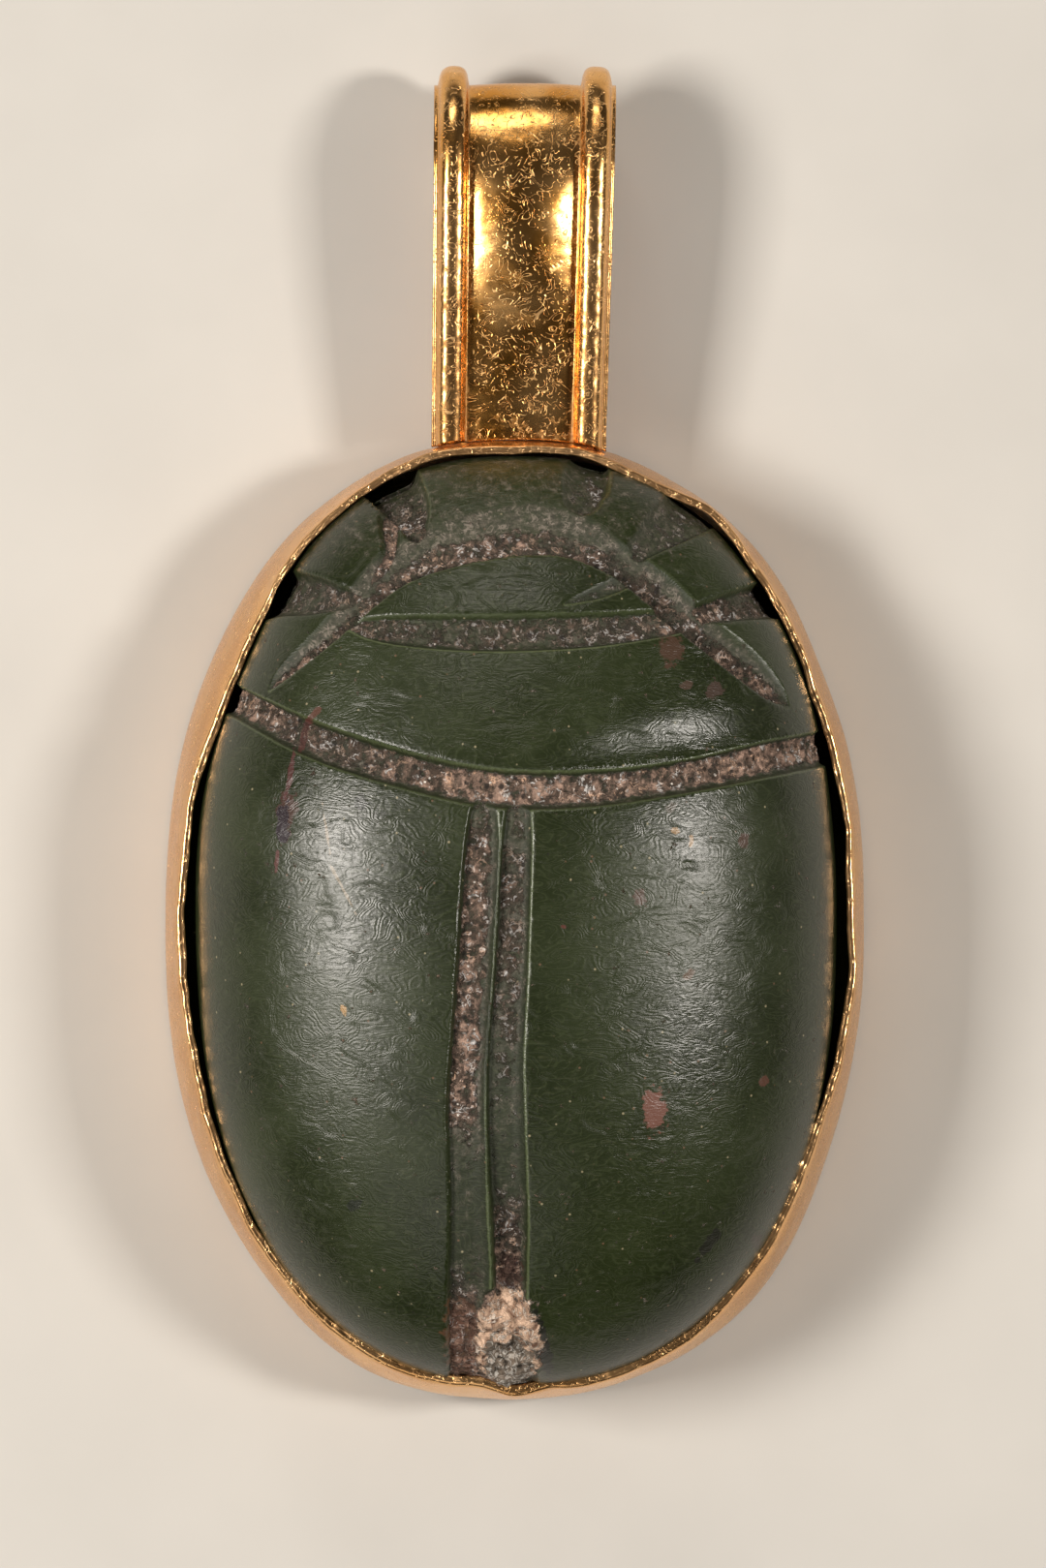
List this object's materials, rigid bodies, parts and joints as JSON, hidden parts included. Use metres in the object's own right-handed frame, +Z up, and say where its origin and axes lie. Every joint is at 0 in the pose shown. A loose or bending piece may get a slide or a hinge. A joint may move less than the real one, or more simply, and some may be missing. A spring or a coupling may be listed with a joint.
{
  "type": "gold-mounted scarab seal pendant",
  "caption": "Carved green-stone scarab with a flat seal face, set in a thin gold bezel band with a wide ribbed hanging loop at the head.",
  "frame": {"origin": "centre of the flat seal face, on which the seal lies", "axes": "+Z up through the beetle's back, +Y towards its head and the loop, +X to the beetle's right as it is seen from above"},
  "size_m": [0.0368, 0.0697, 0.017],
  "materials": {
    "stone": "worn polish, dark green jasper with brown deposit in the cuts",
    "gold": null
  },
  "bodies": {
    "root": {"scarab": "stone", "bezel_band": "gold", "suspension_loop": "gold"}
  },
  "joints": []
}
